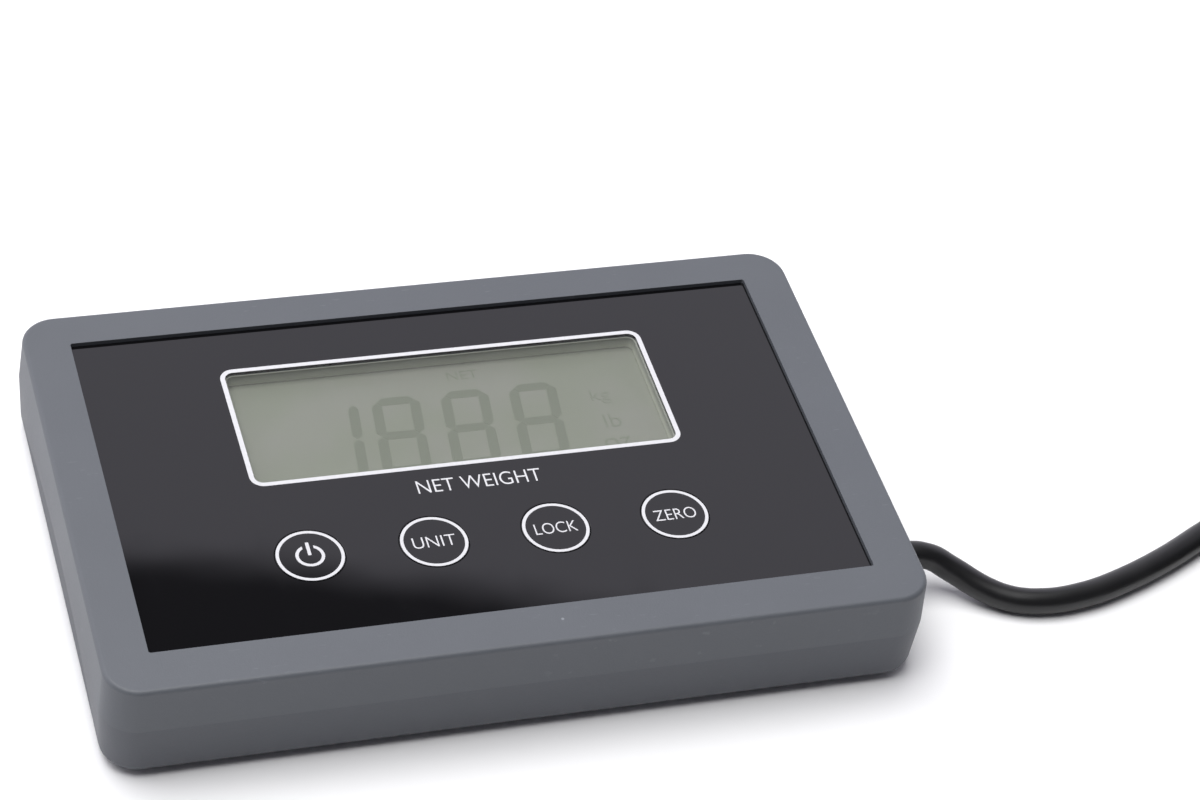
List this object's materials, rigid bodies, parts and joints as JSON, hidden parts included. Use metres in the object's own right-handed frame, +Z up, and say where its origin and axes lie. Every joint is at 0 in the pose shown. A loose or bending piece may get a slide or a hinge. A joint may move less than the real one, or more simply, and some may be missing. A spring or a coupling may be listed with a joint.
{
  "type": "weighing scale display unit",
  "caption": "Flat wired display unit of a bench scale: two-shell housing, display window, round keys, battery bay and a coiled cable with a round plug.",
  "frame": {"origin": "middle of the housing's footprint, on the surface that the feet stand on", "axes": "+X to the reader's right, +Y away from the reader, +Z up"},
  "size_m": [0.2603, 0.1181, 0.0182],
  "materials": {
    "housing_grey": "finely textured moulded ABS, mid blue-grey",
    "panel_black": "glossy black sheet printed from behind",
    "window_clear": "clear part of the panel sheet",
    "display_glass": "glass sandwich of a reflective display",
    "display_film": "grey-green polarising film",
    "reflector": "silvery white film",
    "white_plastic": "off-white moulded nylon",
    "black_plastic": "black moulded plastic",
    "board_green": "green solder mask on glass-epoxy",
    "steel": "zinc-plated steel",
    "nickel": "nickel-plated brass or steel",
    "gold": "gold-flashed contacts",
    "elastomer": "striped conductive silicone strip",
    "cell_sleeve": "plastic-sleeved dry cell",
    "capacitor_sleeve": "sleeved electrolytic can",
    "wire": "thin insulated wires in several colours",
    "foot_rubber": "soft black rubber",
    "cable_jacket": "black flexible PVC, satin"
  },
  "bodies": {
    "housing": {"rear_cover": "housing_grey", "front_cover": "housing_grey", "front_panel": "panel_black", "window": "window_clear", "switch_power": "black_plastic", "switch_unit": "black_plastic", "switch_lock": "black_plastic", "switch_zero": "black_plastic", "lcd_glass": "display_glass", "lcd_polarizer": "display_film", "lcd_reflector": "reflector", "lcd_frame": "white_plastic", "contact_strip": "elastomer", "circuit_board": "board_green", "board_screws": "steel", "controller_chip": "black_plastic", "converter_chip": "black_plastic", "crystal": "nickel", "capacitors": "capacitor_sleeve", "buzzer": "black_plastic", "wire_header": "white_plastic", "wire_plug": "white_plastic", "signal_wires": "wire", "cell_left": "cell_sleeve", "cell_right": "cell_sleeve", "contact_spring": "nickel", "spring_plate": "nickel", "button_plate": "nickel", "battery_leads": "wire", "housing_screws": "steel", "rubber_feet": "foot_rubber", "strain_relief": "cable_jacket", "cable_stub": "cable_jacket", "cable_clamp": "white_plastic", "clamp_screws": "steel", "cord_lead": "cable_jacket", "cord_coil": "cable_jacket", "coil_tie": "black_plastic", "cord_tail": "cable_jacket", "plug_body": "cable_jacket", "plug_shell": "nickel", "plug_insert": "black_plastic", "plug_pins": "gold"},
    "key_power": {"key_power": "panel_black", "stem_power": "white_plastic"},
    "key_unit": {"key_unit": "panel_black", "stem_unit": "white_plastic"},
    "key_lock": {"key_lock": "panel_black", "stem_lock": "white_plastic"},
    "key_zero": {"key_zero": "panel_black", "stem_zero": "white_plastic"},
    "door": {"battery_door": "housing_grey"}
  },
  "joints": [
    {"name": "power_press", "type": "slide", "parent": "housing", "child": "key_power", "axis": [0, 0, -1], "range_m": [0, 0.00035], "stiffness_N_per_m": 4000},
    {"name": "unit_press", "type": "slide", "parent": "housing", "child": "key_unit", "axis": [0, 0, -1], "range_m": [0, 0.00035], "stiffness_N_per_m": 4000},
    {"name": "lock_press", "type": "slide", "parent": "housing", "child": "key_lock", "axis": [0, 0, -1], "range_m": [0, 0.00035], "stiffness_N_per_m": 4000},
    {"name": "zero_press", "type": "slide", "parent": "housing", "child": "key_zero", "axis": [0, 0, -1], "range_m": [0, 0.00035], "stiffness_N_per_m": 4000},
    {"name": "door_swing", "type": "hinge", "parent": "housing", "child": "door", "pos_m": [-0.0461, 0.0326, 0.001], "axis": [0, 1, 0], "range_deg": [0, 60]}
  ]
}
